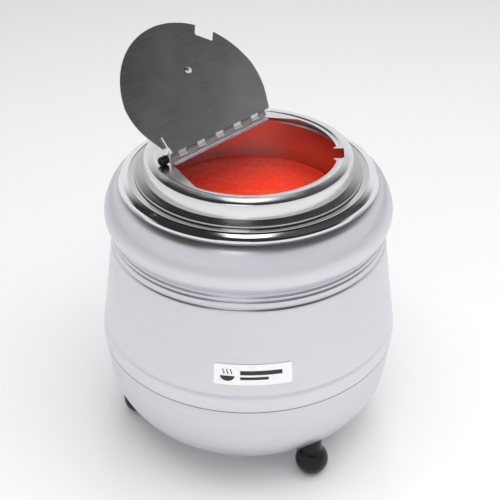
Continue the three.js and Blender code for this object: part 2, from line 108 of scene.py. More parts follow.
def rounded(points, steps=4, closed=True):
    """Rounds corners: each point is (x, y) or (x, y, corner radius)."""
    line = []
    count = len(points)
    for i, corner in enumerate(points):
        here = Vector(corner[:2])
        radius = corner[2] if len(corner) > 2 else 0
        inner = closed or 0 < i < count - 1
        if not radius or not inner:
            line.append(tuple(here))
            continue
        back = Vector(points[i - 1][:2]) - here
        on = Vector(points[(i + 1) % count][:2]) - here
        half = back.angle(on) / 2
        reach = min(radius / math.tan(half), back.length * 0.48, on.length * 0.48)
        start, end = here + back.normalized() * reach, here + on.normalized() * reach
        line += [bend(start, here, end, k / steps) for k in range(steps + 1)]
    return line


def offset_line(line, distance):
    """The line moved sideways, to the right of its direction."""
    moved = []
    for i, here in enumerate(line):
        here = Vector(here)
        before, after = Vector(line[max(i - 1, 0)]), Vector(line[min(i + 1, len(line) - 1)])
        arriving = (here - before).normalized() if i else (after - here).normalized()
        leaving = (after - here).normalized() if i < len(line) - 1 else arriving
        along = (arriving + leaving).normalized()
        stretch = max(along.dot(arriving), 0.35)
        moved.append((here.x + along.y * distance / stretch, here.y - along.x * distance / stretch))
    for end in (0, -1):
        if line[end][0] == 0:
            moved[end] = (0, moved[end][1])
    return moved


def sheet(line, thickness):
    """The closed outline of a sheet whose one face follows the line."""
    return list(line) + offset_line(line, thickness)[::-1]


# ---------- mesh helpers ----------
def mesh_from(name, bm):
    """A mesh in metres from a bmesh in millimetres, which is used up."""
    bmesh.ops.recalc_face_normals(bm, faces=bm.faces)
    bmesh.ops.scale(bm, vec=(MM, MM, MM), verts=bm.verts)
    mesh = bpy.data.meshes.new(name)
    bm.to_mesh(mesh)
    bm.free()
    return mesh


def add_object(name, data):
    obj = bpy.data.objects.new(name, data)
    bpy.context.scene.collection.objects.link(obj)
    return obj


def piece(name, bm, body, material, stands_for=(), place=None, sharp=SHARP):
    """Turns a bmesh into a finished piece that rides on a body."""
    mesh = mesh_from(name, bm)
    mesh.shade_smooth()
    mesh.set_sharp_from_angle(angle=math.radians(sharp))
    obj = add_object(name, mesh)
    if place is not None:
        obj.matrix_world = place
    mesh.materials.append(material)
    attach(obj, body)
    if stands_for:
        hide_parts(*stands_for)
    return obj


def spin(bm, outline, segments=FINE, at=(0, 0)):
    """Adds a closed outline turned round a vertical axis at (x, y)."""
    x, y = at
    turns = [2 * math.pi * k / segments for k in range(segments)]
    rings = []
    for r, z in outline:
        if r < 1e-6:
            rings.append([bm.verts.new((x, y, z))])
        else:
            rings.append([bm.verts.new((x + r * math.cos(a), y + r * math.sin(a), z)) for a in turns])
    for low, high in zip(rings, rings[1:] + rings[:1]):
        if len(low) == 1 and len(high) == 1:
            continue
        for k in range(segments):
            n = (k + 1) % segments
            corners = [low[k % len(low)], low[n % len(low)], high[n % len(high)], high[k % len(high)]]
            bm.faces.new(list(dict.fromkeys(corners)))
    return bm


def lathe(outline, segments=FINE, at=(0, 0)):
    return spin(bmesh.new(), outline, segments, at)


def rod(radius, z0, z1, segments, at=(0, 0)):
    return lathe([(0, z0), (radius, z0), (radius, z1), (0, z1)], segments, at)


def prism(bm, outline, z0, z1):
    """Adds a flat outline of (x, y) points, filled, between two heights."""
    low = [bm.verts.new((x, y, z0)) for x, y in outline]
    high = [bm.verts.new((x, y, z1)) for x, y in outline]
    bm.faces.new(low[::-1])
    bm.faces.new(high)
    for k in range(len(outline)):
        n = (k + 1) % len(outline)
        bm.faces.new((low[k], low[n], high[n], high[k]))
    return bm


def block(bm, x0, x1, y0, y1, z0, z1):
    return prism(bm, [(x0, y0), (x1, y0), (x1, y1), (x0, y1)], z0, z1)


def lay_along_x(bm, first=0, x=0.0, y=0.0, z=0.0):
    """Turns what was drawn along z, from the first of its vertices on, to lie along x."""
    turn = Matrix(((0, 0, 1, x), (1, 0, 0, y), (0, 1, 0, z), (0, 0, 0, 1)))
    bmesh.ops.transform(bm, matrix=turn, verts=list(bm.verts)[first:])


def tube_along_x(bm, outer, inner, x0, x1, sides=28):
    """Adds a pipe along x, or a rod if inner is 0, with its ends a little chamfered."""
    edge = min(0.35, (outer - inner) / 3)
    outline = [(outer - edge, 0), (outer, edge), (outer, x1 - x0 - edge), (outer - edge, x1 - x0)]
    if inner:
        outline += [(inner, x1 - x0), (inner, 0)]
    else:
        outline = [(0, 0), *outline, (0, x1 - x0)]
    first = len(bm.verts)
    spin(bm, outline, sides)
    lay_along_x(bm, first, x0)
    return bm


def sweep(path, radius, sides=20):
    """A round wire along a path of points, a little narrower at its two ends."""
    bm = bmesh.new()
    points = [Vector(p) for p in path]
    last = len(points) - 1
    turns = [2 * math.pi * k / sides for k in range(sides)]
    rings = []
    side = None
    for i, here in enumerate(points):
        along = (points[min(i + 1, last)] - points[max(i - 1, 0)]).normalized()
        side = along.orthogonal() if side is None else side - along * side.dot(along)
        side.normalize()
        other = along.cross(side)
        share = 0.6 if i in (0, last) else 1
        rings.append([bm.verts.new(here + (side * math.cos(a) + other * math.sin(a)) * radius * share)
                      for a in turns])
    for low, high in zip(rings, rings[1:]):
        for k in range(sides):
            n = (k + 1) % sides
            bm.faces.new((low[k], low[n], high[n], high[k]))
    bm.faces.new(rings[0][::-1])
    bm.faces.new(rings[-1])
    return bm


def circle(radius, at, sides):
    turns = [2 * math.pi * k / sides for k in range(sides)]
    return [(at[0] + radius * math.cos(a), at[1] + radius * math.sin(a)) for a in turns]


def hexagon(across, corner):
    return rounded([(x, y, corner) for x, y in circle(across / math.sqrt(3), (0, 0), 6)], 3)


def temporary(bm):
    """A plain object to cut other pieces with."""
    return add_object("cutter", mesh_from("cutter", bm))


def cutter(outline, place, z0=-THROUGH, z1=THROUGH):
    """A flat outline made thick, to cut through a sheet."""
    made = temporary(prism(bmesh.new(), outline, z0, z1))
    made.matrix_world = place
    return made


def combine(obj, others, operation):
    """Applies booleans to a piece with temporary objects, which are then removed."""
    for other in others:
        modifier = obj.modifiers.new("cut", "BOOLEAN")
        modifier.operation = operation
        modifier.solver = "EXACT"
        modifier.object = other
    apply_modifiers(obj)
    for other in others:
        mesh = other.data
        bpy.data.objects.remove(other)
        bpy.data.meshes.remove(mesh)
    obj.data.shade_smooth()
    obj.data.set_sharp_from_angle(angle=math.radians(SHARP))


def apply_modifiers(obj):
    bpy.context.view_layer.update()
    evaluated = obj.evaluated_get(bpy.context.evaluated_depsgraph_get())
    mesh = bpy.data.meshes.new_from_object(evaluated)
    old = obj.data
    obj.modifiers.clear()
    obj.data = mesh
    mesh.name = obj.name
    bpy.data.meshes.remove(old)


def soften(obj, width, segments=2):
    """Breaks the sharp edges of a piece."""
    modifier = obj.modifiers.new("edges", "BEVEL")
    modifier.width = width * MM
    modifier.segments = segments
    modifier.limit_method = "ANGLE"
    modifier.angle_limit = math.radians(BROKEN)
    modifier.use_clamp_overlap = True
    modifier.harden_normals = True


# ---------- materials ----------
def add_node(tree, kind, inputs=(), **settings):
    """Adds a shader node; each input is given a value or linked to a socket."""
    made = tree.nodes.new(kind)
    for key, value in settings.items():
        setattr(made, key, value)
    for key, value in dict(inputs).items():
        if isinstance(value, bpy.types.NodeSocket):
            tree.links.new(value, made.inputs[key])
        else:
            made.inputs[key].default_value = value
    return made


class Paint:
    """One procedural material: a Principled shader and the nodes that vary it."""

    def __init__(self, name, color, metallic=0.0, **sockets):
        self.material = bpy.data.materials.new(name)
        self.material.use_nodes = True
        self.tree = self.material.node_tree
        self.shader = self.tree.nodes["Principled BSDF"]
        self.material.diffuse_color = (*color, 1)
        self.color = color
        self.shader.inputs["Base Color"].default_value = (*color, 1)
        self.shader.inputs["Metallic"].default_value = metallic
        for socket, value in sockets.items():
            self.shader.inputs[socket.replace("_", " ")].default_value = value
        self.place = self.node("ShaderNodeTexCoord").outputs["Object"]

    def node(self, kind, inputs=(), **settings):
        return add_node(self.tree, kind, inputs, **settings)

    def maths(self, operation, a, b):
        return self.node("ShaderNodeMath", {0: a, 1: b}, operation=operation).outputs[0]

    def vectors(self, operation, a, b):
        return self.node("ShaderNodeVectorMath", {0: a, 1: b}, operation=operation).outputs[0]

    def blend(self, a, b, share):
        """Adds two values: the first by its share, the second by the rest."""
        return self.maths("ADD", self.maths("MULTIPLY", a, share), self.maths("MULTIPLY", b, 1 - share))

    def height(self):
        return self.node("ShaderNodeSeparateXYZ", {0: self.place}).outputs[2]

    def cells(self, scale):
        return self.node("ShaderNodeTexVoronoi", {"Vector": self.place, "Scale": scale}).outputs[0]

    def noise(self, scale, detail=3.0, vector=None, roughness=0.55, distortion=0.0):
        inputs = {"Vector": vector or self.place, "Scale": scale, "Detail": detail,
                  "Roughness": roughness, "Distortion": distortion}
        return self.node("ShaderNodeTexNoise", inputs).outputs[0]

    def stretched(self, scales):
        """The object's coordinates, each times its own scale."""
        return self.vectors("MULTIPLY", self.place, scales)

    def turned(self, around, across):
        """Coordinates that run along the turning lines of a spun part."""
        axes = self.node("ShaderNodeSeparateXYZ", {0: self.place}).outputs
        flat = self.node("ShaderNodeCombineXYZ", {0: axes[0], 1: axes[1]}).outputs[0]
        radius = self.node("ShaderNodeVectorMath", {0: flat}, operation="LENGTH").outputs["Value"]
        unit = self.node("ShaderNodeVectorMath", {0: flat}, operation="NORMALIZE").outputs[0]
        unit = self.node("ShaderNodeVectorMath", {0: unit, 3: around}, operation="SCALE").outputs[0]
        level = self.maths("ADD", self.maths("MULTIPLY", radius, across * 0.83),
                           self.maths("MULTIPLY", axes[2], across))
        lift = self.node("ShaderNodeCombineXYZ", {2: level}).outputs[0]
        return self.vectors("ADD", unit, lift)

    def ranged(self, value, low, high, start=0.3, end=0.7):
        return self.node("ShaderNodeMapRange", {0: value, 1: start, 2: end, 3: low, 4: high}).outputs[0]

    def roughness(self, value, low, high, start=0.3, end=0.7):
        self.tree.links.new(self.ranged(value, low, high, start, end), self.shader.inputs["Roughness"])

    def tint(self, value, other, start=0.3, end=0.7, strength=1.0):
        """Varies the colour towards another one."""
        share = self.ranged(value, 0.0, strength, start, end)
        present = self.shader.inputs["Base Color"]
        before = present.links[0].from_socket if present.is_linked else (*self.color, 1)
        mixed = self.node("ShaderNodeMix", {0: share, 6: before, 7: (*other, 1)}, data_type="RGBA")
        self.tree.links.new(mixed.outputs[2], present)

    def bump(self, value, strength, distance):
        inputs = {"Strength": strength, "Distance": distance, "Height": value}
        previous = self.shader.inputs["Normal"]
        if previous.is_linked:
            inputs["Normal"] = previous.links[0].from_socket
        made = self.node("ShaderNodeBump", inputs)
        self.tree.links.new(made.outputs[0], previous)


def shade(color, factor):
    return tuple(c * factor for c in color)


def spun_steel(name, color, low, high, bump=0.05, marks=0.35, seam_shade_band=None):
    """Steel with the fine turning lines of spinning, faint cloudy staining and small scuffs.

    The seam band is a pair of heights: from the upper one down to the lower the metal is painted dark,
    as painted shade standing in for the shadow line at the seam."""
    paint = Paint(name, color, 1.0)
    lines = paint.noise(1.0, 4.0, paint.turned(1.1, 900))
    broad = paint.noise(1.0, 2.0, paint.turned(1.6, 120))
    clouds = paint.noise(9, 4.0)
    paint.roughness(paint.blend(lines, clouds, 0.55), low, high, 0.36, 0.66)
    paint.tint(broad, shade(color, 0.975), 0.4, 0.75)
    paint.tint(paint.noise(42, 5.0, roughness=0.7), shade(color, 0.86), 0.62, 0.78, marks)
    # painted shade: a thin band just above the casing's lower edge is darkened to stand in for the seam's shadow
    if seam_shade_band is not None:
        dark = paint.ranged(paint.height(), 1.0, 0.0, seam_shade_band[0] * MM, seam_shade_band[1] * MM)
        paint.tint(dark, shade(color, 0.22), 0.0, 1.0, 0.9)
    paint.bump(lines, bump, 0.0002)
    return paint.material


def brushed_steel(name, color, low, high, scales, bump=0.12):
    """Sheet with straight fine grain along one axis, worn a little where hands touch it."""
    paint = Paint(name, color, 1.0)
    grain = paint.noise(1.0, 4.0, paint.stretched(scales))
    clouds = paint.noise(14, 4.0)
    paint.roughness(paint.blend(grain, clouds, 0.6), low, high, 0.38, 0.62)
    paint.tint(grain, shade(color, 0.8), 0.4, 0.7, 0.7)
    paint.tint(clouds, shade(color, 1.16), 0.5, 0.75, 0.6)
    paint.bump(grain, bump, 0.0001)
    return paint.material


def polished_steel(name, color, low=0.04, high=0.13):
    """Mirror-polished steel: buffing haze, water spots and hairline scratches."""
    paint = Paint(name, color, 1.0)
    haze = paint.noise(18, 5.0, distortion=0.8)
    paint.roughness(haze, low, high)
    spots = paint.maths("SUBTRACT", 1.0, paint.cells(130))
    paint.tint(spots, shade(color, 0.9), 0.86, 0.97, 0.5)
    paint.bump(paint.noise(1.0, 4.0, paint.turned(0.8, 1500)), 0.02, 0.0001)
    return paint.material


def zinc(name, color):
    paint = Paint(name, color, 1.0)
    paint.roughness(paint.noise(120, 4.0), 0.28, 0.52)
    paint.tint(paint.noise(60, 5.0), (0.42, 0.40, 0.34), 0.5, 0.75, 0.5)
    paint.bump(paint.noise(500, 2.0), 0.1, 0.0001)
    return paint.material


def moulded(name, color, low, high, other, grain=900, bump=0.06, **sockets):
    """Moulded plastic or rubber: fine skin texture, dust and rubbed edges."""
    paint = Paint(name, color, 0.0, **sockets)
    paint.roughness(paint.noise(45, 5.0), low, high)
    paint.tint(paint.noise(75, 6.0, roughness=0.7), other, 0.56, 0.8, 0.6)
    paint.bump(paint.noise(grain, 2.0), bump, 0.0001)
    paint.bump(paint.noise(60, 3.0), 0.05, 0.0004)
    return paint.material


def fibre_wool(name, color):
    paint = Paint(name, color, 0.0)
    strands = paint.noise(1.0, 6.0, paint.stretched((90, 90, 700)), distortion=1.5)
    paint.roughness(strands, 0.85, 1.0)
    paint.tint(strands, shade(color, 0.6), 0.4, 0.7)
    paint.bump(strands, 0.8, 0.002)
    return paint.material


def limed_steel(name, color):
    """The well's wall, with lime left by the water in soft rings below its usual level."""
    paint = Paint(name, color, 1.0)
    ragged = paint.maths("ADD", paint.height(), paint.maths("MULTIPLY", paint.noise(20, 4.0), 0.03))
    rings = paint.noise(1.0, 3.0, paint.turned(0.9, 240))
    below = paint.ranged(ragged, 1.0, 0.0, 0.285, 0.30)
    lime = paint.maths("MULTIPLY", below, paint.ranged(rings, 0.1, 0.8, 0.35, 0.7))
    paint.tint(lime, (0.78, 0.77, 0.72), 0.0, 1.0, 0.45)
    paint.roughness(lime, 0.16, 0.5, 0.0, 1.0)
    paint.bump(rings, 0.08, 0.0003)
    return paint.material


def tomato_soup(name):
    """Thick tomato soup: streaks of cream and oil, pulp under a wet skin."""
    paint = Paint(name, (0.98, 0.052, 0.022), 0.0, Coat_Weight=0.2, Coat_Roughness=0.2)
    streaks = paint.noise(1.0, 6.0, paint.stretched((16, 60, 16)), distortion=1.4)
    pulp = paint.noise(170, 5.0, roughness=0.65)
    paint.tint(streaks, (0.95, 0.105, 0.035), 0.45, 0.72, 0.8)
    paint.tint(pulp, (0.66, 0.022, 0.014), 0.52, 0.75, 0.7)
    paint.roughness(pulp, 0.3, 0.55)
    paint.bump(pulp, 0.35, 0.0008)
    paint.bump(streaks, 0.3, 0.002)
    return paint.material


def lens_plastic(name, color):
    paint = Paint(name, color, 0.0, Transmission_Weight=0.35, IOR=1.49, Coat_Weight=0.5)
    facets = paint.cells(700)
    paint.roughness(facets, 0.08, 0.25)
    paint.tint(facets, shade(color, 0.55), 0.3, 0.8, 0.6)
    paint.bump(facets, 0.3, 0.0003)
    return paint.material


def printed_label(name, color):
    """A glossy label: faint dirt and a slight orange-peel surface."""
    paint = Paint(name, color, 0.0, Coat_Weight=0.4, Coat_Roughness=0.08)
    paint.roughness(paint.noise(70, 4.0), 0.2, 0.34)
    paint.tint(paint.noise(30, 5.0), shade(color, 0.9), 0.55, 0.8, 0.6)
    paint.bump(paint.noise(420, 2.0), 0.05, 0.0001)
    return paint.material


SATIN = (0.71, 0.70, 0.745)
MIRROR = (0.86, 0.87, 0.87)
# the band from 140.9 to 141.9 mm is painted shade for the shadow line in the seam above the pan
casing_steel = spun_steel("casing_satin", SATIN, 0.27, 0.40, 0.06, seam_shade_band=(140.9, 141.9))
pan_steel = spun_steel("pan_satin", shade(SATIN, 0.97), 0.30, 0.43, 0.07)
mirror_steel = polished_steel("mirror_steel", MIRROR)
plate_steel = polished_steel("plate_steel", shade(MIRROR, 0.95), 0.14, 0.24)
hinge_steel = polished_steel("hinge_steel", MIRROR, 0.1, 0.22)
leaf_steel = polished_steel("leaf_steel", MIRROR, 0.34, 0.46)
# the flap is brushed steel; its base colour is darker than the other steel as painted shade, standing in for the
# dark reflection it shows
shaded_flap_steel = brushed_steel("flap_brushed", (0.42, 0.42, 0.43), 0.26, 0.38, (14, 1500, 1500), 0.07)
pot_steel = spun_steel("pot_bright", (0.55, 0.53, 0.54), 0.14, 0.26, 0.05, 0.5)
well_steel = limed_steel("well_limed", (0.70, 0.69, 0.69))
zinc_plate = zinc("zinc_plate", (0.62, 0.63, 0.65))
phenolic = moulded("black_phenolic", (0.012, 0.012, 0.013), 0.16, 0.3, (0.03, 0.03, 0.03), 700, 0.03)
rubber = moulded("black_rubber", (0.003, 0.003, 0.003), 0.12, 0.25, (0.012, 0.012, 0.012), bump=0.03,
                 Specular_IOR_Level=0.3)
white_ink = moulded("white_ink", (0.86, 0.86, 0.84), 0.4, 0.6, (0.6, 0.6, 0.58))
dark_ink = moulded("dark_ink", (0.02, 0.021, 0.024), 0.35, 0.5, (0.06, 0.06, 0.065))
label_face = printed_label("label_face", (0.93, 0.935, 0.93))
dial_metal = spun_steel("dial_metal", (0.66, 0.67, 0.68), 0.3, 0.45, 0.1)
lamp_plastic = lens_plastic("lamp_plastic", (0.80, 0.10, 0.02))
soup_skin = tomato_soup("soup_skin")
sheath = zinc("element_sheath", (0.2, 0.19, 0.185))

carried_over = {
    "glass_wool": fibre_wool("glass_wool_fibre", (0.75, 0.68, 0.42)),
    "element_sheath": sheath,
    "plain_steel": zinc_plate,
    "aluminium": zinc("cast_aluminium", (0.66, 0.67, 0.68)),
    "brass": zinc("plain_brass", (0.62, 0.45, 0.18)),
    "black_plastic": phenolic,
    "white_plastic": moulded("white_terminal", (0.8, 0.8, 0.78), 0.35, 0.55, (0.62, 0.6, 0.52)),
    "red_insulation": moulded("red_insulation_skin", (0.42, 0.02, 0.012), 0.35, 0.5, (0.25, 0.015, 0.01)),
    "blue_insulation": moulded("blue_insulation_skin", (0.02, 0.06, 0.2), 0.35, 0.5, (0.015, 0.03, 0.1)),
}
for subpart in record["subparts"]:
    if subpart["material_slot"] in carried_over:
        slots = frame["nodes"][subpart["node"]].data.materials
        slots.clear()
        slots.append(carried_over[subpart["material_slot"]])

# ---------- casing ----------
# Each groove: height, depth, half width. Three sharp ones are on the neck, a soft one is on the belly.
GROOVES = ((283, 2.0, 2.3), (277.5, 2.0, 2.3), (268.5, 2.0, 2.6), (163.5, 1.1, 5.5))
NECK_R = 158.2              # radius of the neck at NECK_Z
NECK_Z = 284
NECK_FLARE = 0.16           # how much it widens for each millimetre down
NECK_TOP = 285.6
NECK_STEP = 0.35
SHOULDER = [(143, 343), (148, 342.2), (152.2, 340), (156.5, 335.6), (161.6, 326.4), (165.4, 315.6),
            (166.6, 306.4), (165.0, 297.6), (160.8, 289.8), (158.2, 286)]
BELLY = [(161.4, 265.6), (163.9, 248), (166.8, 226), (170.4, 200), (174, 176), (176.7, 158),
         (177.6, 149), (177.2, 140)]
WIDEST = 177.6


def dip(z, at, depth, half):
    away = abs(z - at)
    return 0 if away >= half else depth * 0.5 * (1 + math.cos(math.pi * away / half))


def casing_line():
    heights = [NECK_TOP - NECK_STEP * k for k in range(56)]
    neck = [(NECK_R + (NECK_Z - z) * NECK_FLARE, z) for z in heights]
    line = smooth_line(SHOULDER, 7) + neck + smooth_line(BELLY, 12)
    return [(min(r, WIDEST) - sum(dip(z, *groove) for groove in GROOVES), z) for r, z in line]


def casing_radius(z):
    line = casing_line()
    k = next(k for k in range(1, len(line)) if line[k][1] <= z)
    (r0, z0), (r1, z1) = line[k - 1], line[k]
    return r1 + (r0 - r1) * (z - z1) / max(z0 - z1, 1e-9)


piece("casing", lathe(sheet(casing_line(), CASING_SHEET)), "base", casing_steel,
      ["body_shell"])

# ---------- base pan and its recess ----------
PAN_CORNER = [(133, 39), (146, 47.6), (158.4, 62), (168, 80), (172.2, 98), (173.8, 116), (174.2, 130)]
PANEL_Y = 150               # the recessed rear panel's face
PANEL_HALF = 52
PANEL_LOW = 60
PANEL_HIGH = 110
PANEL_CORNER = 6
# Each hole in the panel: the node that sits in it, and its radius.
PANEL_HOLES = (("thermostat_spindle", 4), ("indicator_lamp", 4.8), ("cord_gland", 6.4))
STUD_HOLE_R = 2.9
ROD_HOLE_R = 3.4


def pan_line():
    corner = smooth_line(PAN_CORNER, 6)
    return [(0, 39), (20, 39), (131, 39)] + corner + [(175.5, 138), (175.5, 151)]


def pan_height(r):
    """Height of the pan's outer face at a radius, on its flat bottom and lower corner."""
    line = smooth_line(PAN_CORNER, 12)
    if r <= line[0][0]:
        return line[0][1]
    k = next(k for k in range(1, len(line)) if line[k][0] >= r)
    (r0, z0), (r1, z1) = line[k - 1], line[k]
    return z0 + (z1 - z0) * (r - r0) / (r1 - r0)


def panel_box(grown, y0, y1):
    """The recess as a box from y0 to y1, grown all round by a sheet's thickness or by nothing."""
    half, low, high = PANEL_HALF + grown, PANEL_LOW - grown, PANEL_HIGH + grown
    corners = [(-half, low), (half, low), (half, high), (-half, high)]
    outline = rounded([(x, z, PANEL_CORNER + grown) for x, z in corners], 5)
    bm = prism(bmesh.new(), outline, y0, y1)
    swap = Matrix(((1, 0, 0, 0), (0, 0, 1, 0), (0, 1, 0, 0), (0, 0, 0, 1)))
    bmesh.ops.transform(bm, matrix=swap, verts=bm.verts)
    return bm


def make_pan():
    """The pan with a hole for its recess, and the tray that closes the hole."""
    t = CASING_SHEET
    pan = piece("pan", lathe(sheet(pan_line(), -t)), "base", pan_steel, ["base_pan"])
    cuts = [temporary(panel_box(t, PANEL_Y - t, 220))]
    cuts += [temporary(rod(STUD_HOLE_R, 35, 70, 20, centre(foot)[:2])) for foot in FEET]
    cuts.append(temporary(rod(ROD_HOLE_R, 30, 50, 24)))
    combine(pan, cuts, "DIFFERENCE")
    tray = piece("recess_tray", panel_box(t, PANEL_Y - t, 190), "base", pan_steel,
                 ["base_pan"])
    cuts = [temporary(panel_box(0, PANEL_Y, 200))]
    for node, radius in PANEL_HOLES:
        at = centre(node)
        drill = rod(radius, -THROUGH, THROUGH, 32)
        turn = Matrix.Translation((at.x, PANEL_Y, at.z)) @ Matrix.Rotation(math.pi / 2, 4, "X")
        bmesh.ops.transform(drill, matrix=turn, verts=drill.verts)
        cuts.append(temporary(drill))
    combine(tray, cuts, "DIFFERENCE")
    line = pan_line()
    combine(tray, [temporary(lathe(line + [(0, line[-1][1])]))], "INTERSECT")


make_pan()

# ---------- top trim ring, well and pot ----------
TRIM = [(130.4, 336), (130.4, 348.6, 1.1), (131.4, 349.3, 0.8), (138.0, 348.9, 1.0), (141.0, 348.5, 1.0),
        (144.4, 347.9, 1.2), (146.2, 347.0, 0.8), (147.9, 345.4, 1.0), (148.7, 343.2)]
WELL = [(0, 99.5), (112, 99.5, 12), (120, 102, 6), (124.6, 107, 5), (126.3, 114, 6), (127.7, 344, 3),
        (128.9, 349.5, 1), (136, 349.6, 0.6), (137.4, 349.9)]
POT_R = 113.6               # inside of the pot's wall
POT = [(0, 118), (92, 118, 10), (103, 121, 10), (110.6, 128.6, 8), (POT_R, 139, 10), (POT_R, 357.2, 0.8),
       (114.4, 358.6, 0.7), (116.4, 358.6, 0.7), (117.2, 357.4, 0.7), (117.2, 355.4, 0.5),
       (118, 354.6, 0.5), (120, 354.6, 3), (128.2, 353.2, 1.4), (129.5, 352.6, 1), (129.9, 350.9)]
SOUP_LEVEL = 307
SOUP_CLIMB = 1.3            # how far the soup stands up the wall
SOUP_EDGE = 4               # over this last part of its radius
SOUP_CALM = 12              # its ripples fade out over this distance from the wall


def liner(name, line, thickness, body, material, node):
    outline = sheet(rounded(line, 5, closed=False), thickness)
    piece(name, lathe(outline), body, material, [node])


liner("trim_ring", TRIM, CASING_SHEET, "base", mirror_steel, "top_trim_ring")
liner("well_liner", WELL, -LINER_SHEET, "base", well_steel, "water_well")
liner("pot_shell", POT, LINER_SHEET, "pot", pot_steel, "inner_pot")


def make_soup():
    """The filling: it stands a little up the wall, and its top is gently uneven."""
    wall = POT_R - GAP
    rings = [wall * math.sin(math.pi / 2 * k / 44) for k in range(45)]
    top = [(r, SOUP_LEVEL + SOUP_CLIMB * (max(0, r - wall + SOUP_EDGE) / SOUP_EDGE) ** 2) for r in rings]
    below = [(wall, 139), (110.2, 129), (102.6, 121.6), (91.8, 118.4), (0, 118.4)]
    bm = lathe(top + below)
    for v in bm.verts:
        if v.co.z > SOUP_LEVEL - 1 and v.co.xy.length < wall - 0.5:
            fade = min(1, (wall - v.co.xy.length) / SOUP_CALM)
            v.co.z += fade * (0.9 * noise.noise(v.co * 0.03) + 0.35 * noise.noise(v.co * 0.11))
    piece("soup_fill", bm, "pot", soup_skin, sharp=60)


make_soup()

# ---------- lid ring ----------
PLATE_Z = 373.6
SKIRT = [(120, 354.95), (119.4, 362)]
BEAD = [(118.7, 369.2), (118.3, 371.0), (117.0, 372.4), (114.8, 373.4), (111.6, 374.0), (108.4, 374.35),
        (106.6, 374.3), (105.2, PLATE_Z)]
MOUTH_R = 100.5
MOUTH_START = 2             # the mouth begins this far across from the hinge line
# Straight cheeks, right and left: half width at the hinge, and how far across they meet the round edge.
MOUTH_CHEEKS = ((80, 32), (79.5, 58))
NOTCH_TURN = math.radians(39)
NOTCH_HALF = 12
NOTCH_CUT = 7               # depth of the ladle notch in the ring
TOOTH = 5                   # width and height of the small teeth beside it
EASE_TURN = 0.28            # how far along the round edge an eased corner reaches, in radians
EASE_CHEEK = 0.6            # and along the cheek, as a share of its length


def d_outline(radius, cheeks, start, steps=72, ease=0.0):
    """A round mouth cut off at the hinge by straight cheeks, in the hinge's frame.

    An ease above 0 cuts off the corners between the cheeks and the round edge with a curve."""
    right, left = cheeks
    first = math.asin((left[1] - HINGE_OFFSET) / radius)
    last = math.pi - math.asin((right[1] - HINGE_OFFSET) / radius)
    turn = EASE_TURN * ease

    def on_arc(a):
        return Vector((radius * math.cos(a), HINGE_OFFSET + radius * math.sin(a)))

    def eased(cheek_foot, corner, beyond):
        leave = corner.lerp(Vector(cheek_foot), EASE_CHEEK * ease)
        return [bend(leave, corner, beyond, k / 8) for k in range(8)]

    ends = [(-right[0], start), (left[0], start)]
    sweep_angle = last - first - 2 * turn
    arc = [tuple(on_arc(first + turn + sweep_angle * k / steps)) for k in range(steps + 1)]
    if not ease:
        return ends + arc
    entry = eased(ends[1], on_arc(first), on_arc(first + turn))
    leaving = eased(ends[0], on_arc(last), on_arc(last - turn))[::-1]
    return ends + entry + arc + leaving


def at_notch(points):
    """Turns points drawn at the middle of the free edge to the ladle notch."""
    c, s = math.cos(NOTCH_TURN), math.sin(NOTCH_TURN)
    return [(x * c - y * s, HINGE_OFFSET + x * s + y * c) for x, y in points]


def mouth_outline():
    """The ring's opening: the D, the ladle notch and the two small teeth beside it."""
    outline = []
    c, s = math.cos(NOTCH_TURN), math.sin(NOTCH_TURN)
    for x, y in d_outline(MOUTH_R, MOUTH_CHEEKS, MOUTH_START):
        beside, out = x * c + (y - HINGE_OFFSET) * s, (y - HINGE_OFFSET) * c - x * s
        if out < 0 or abs(beside) > NOTCH_HALF + TOOTH + 0.4:
            outline.append((x, y))
    tooth_foot = math.sqrt(MOUTH_R ** 2 - (NOTCH_HALF + TOOTH) ** 2)
    deep = MOUTH_R + NOTCH_CUT
    half = [(NOTCH_HALF + TOOTH, tooth_foot), (NOTCH_HALF + 0.6, MOUTH_R - TOOTH),
            (NOTCH_HALF, MOUTH_R - TOOTH + 0.6), (NOTCH_HALF, deep - 2), (NOTCH_HALF - 0.6, deep - 0.6),
            (NOTCH_HALF - 2, deep)]
    notch = half + [(-x, y) for x, y in half[::-1]]
    middle = at_notch([(0, MOUTH_R)])[0]
    k = next(k for k in range(2, len(outline)) if outline[k][0] < middle[0])
    return outline[:k] + at_notch(notch) + outline[k:]


def make_ring():
    line = SKIRT + smooth_line(BEAD, 6) + [(103.5, PLATE_Z), (0, PLATE_Z)]
    ring = piece("ring_plate", lathe(sheet(line, -CASING_SHEET)), "lid", plate_steel,
                 ["lid_ring"])
    combine(ring, [cutter(mouth_outline(), LID_FRAME)], "DIFFERENCE")
    soften(ring, 0.22)


make_ring()

# ---------- hinge ----------
HINGE_HALF = 78
HINGE_UP = (HINGE_AT.z / MM) - PLATE_Z
KNUCKLE = 1.9
BORE = 1.2
PIN_R = 0.9
SLOTS = [(k - 2) * 30 for k in range(5)]
SLOT_HALF = 6
LEAF = GAP - HINGE_UP       # underside of the leaf, in the hinge's frame
LEAF_SECTION = [(-16, LEAF), (-16, LEAF + 1), (1.6, LEAF + 1), (3.3, LEAF + 0.6, 0.8),
                (3.3, LEAF - 0.3, 0.3), (6.3, LEAF - 0.3, 1.6), (6.3, LEAF - 1.3), (2.3, LEAF - 1.3),
                (2.3, LEAF, 0.4)]


